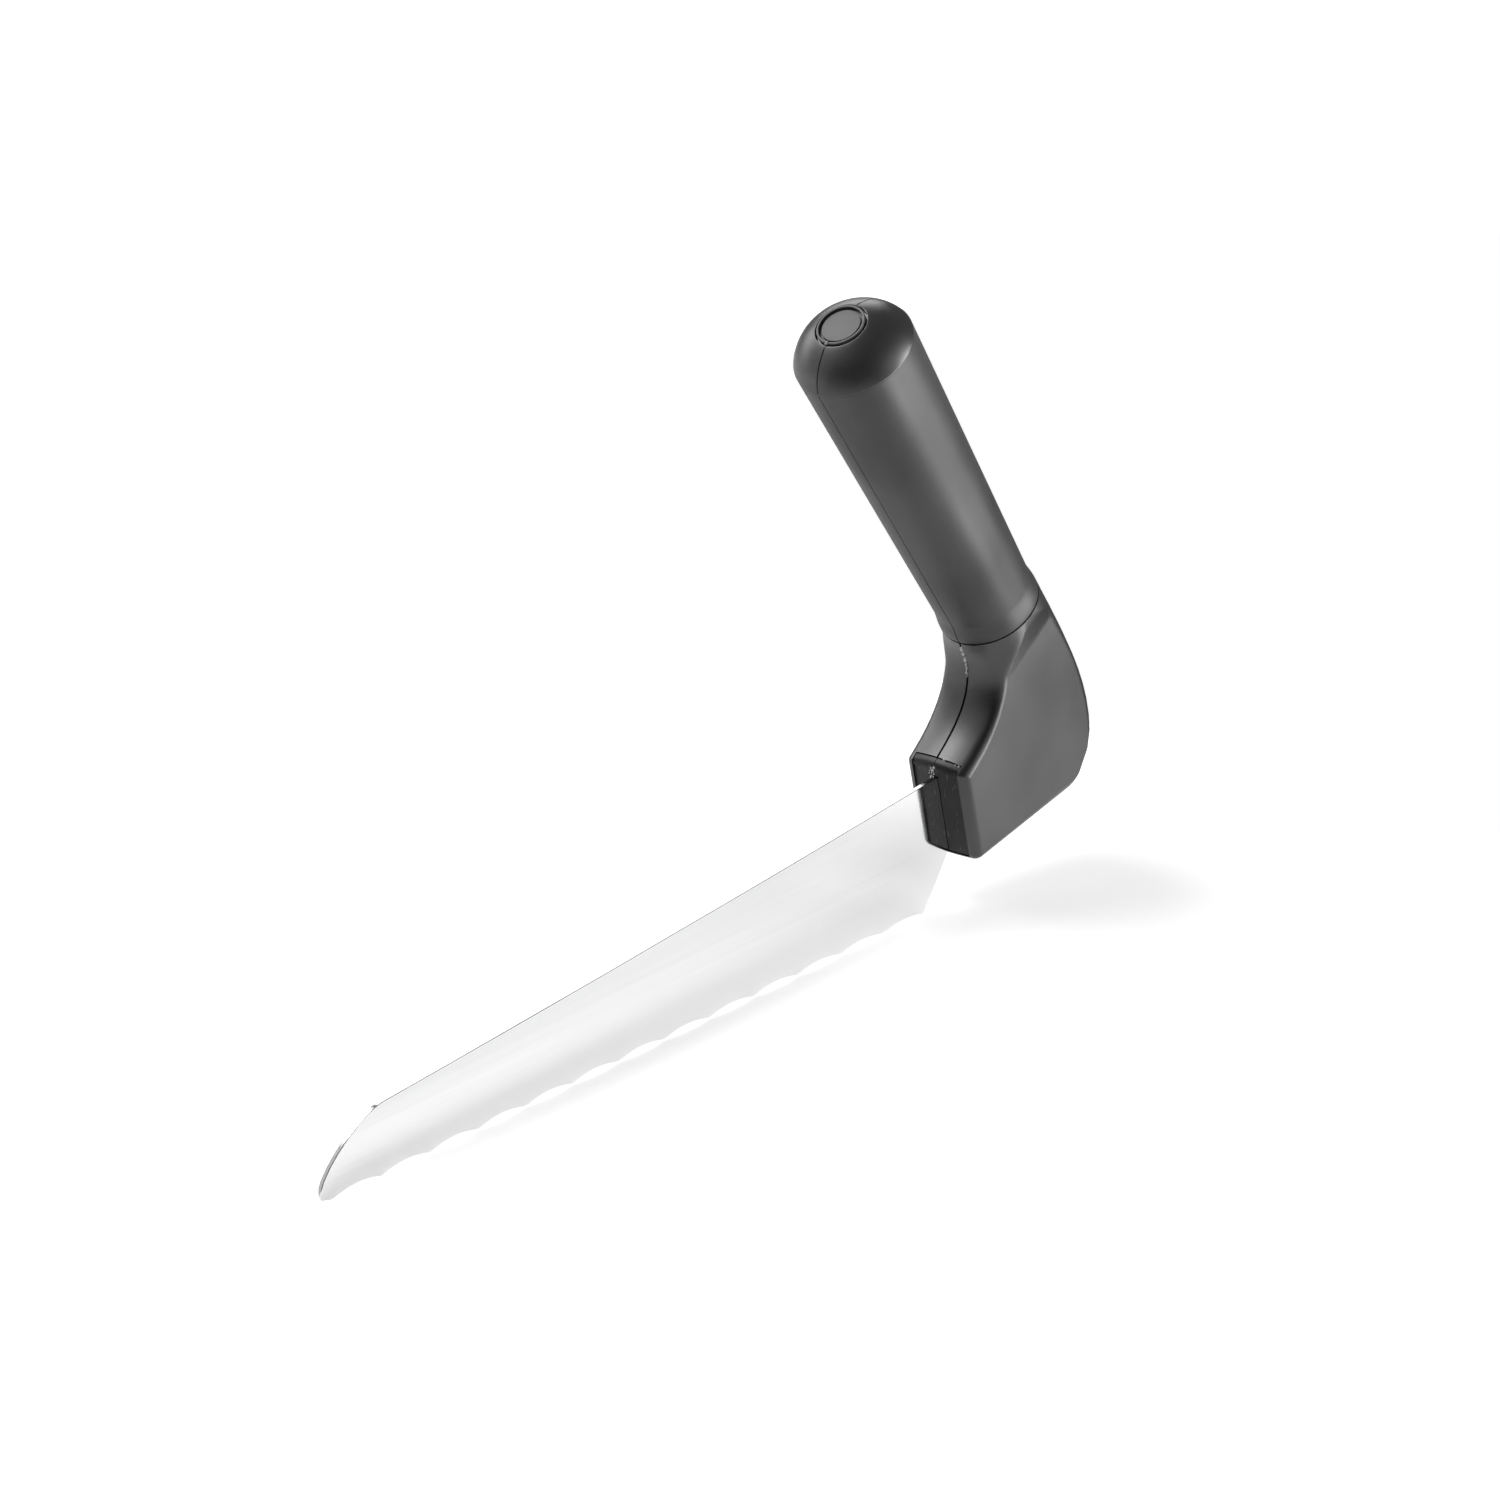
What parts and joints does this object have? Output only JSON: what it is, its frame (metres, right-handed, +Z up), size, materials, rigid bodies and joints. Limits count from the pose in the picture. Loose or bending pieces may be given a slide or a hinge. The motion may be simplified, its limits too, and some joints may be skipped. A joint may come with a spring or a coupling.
{
  "type": "angled bread knife",
  "caption": "Bread knife with a wide scalloped blade and an upright, forward-leaning round grip on a moulded neck, so the wrist stays straight while cutting.",
  "frame": {"origin": "middle of the knife's outer box, at the height of the cutting line", "axes": "-X toward the blade's nose, +Z up from the cutting edge to the grip, +Y to the right of a user whose knife points ahead; the blade lies in the XZ plane"},
  "size_m": [0.2666, 0.0304, 0.1647],
  "materials": {
    "blade_steel": "polished",
    "fastener_steel": "satin",
    "neck_plastic": "satin",
    "block_plastic": "satin",
    "core_plastic": "matte",
    "grip_rubber": "satin",
    "badge_plastic": "grained"
  },
  "bodies": {
    "root": {"blade": "blade_steel", "tang_rivet_front": "fastener_steel", "tang_rivet_rear": "fastener_steel", "core_pin": "fastener_steel", "neck_shell_left": "neck_plastic", "neck_shell_right": "neck_plastic", "tang_block_left": "block_plastic", "tang_block_right": "block_plastic", "grip_core": "core_plastic", "grip_sleeve": "grip_rubber", "end_cap": "grip_rubber", "end_badge": "badge_plastic"}
  },
  "joints": []
}
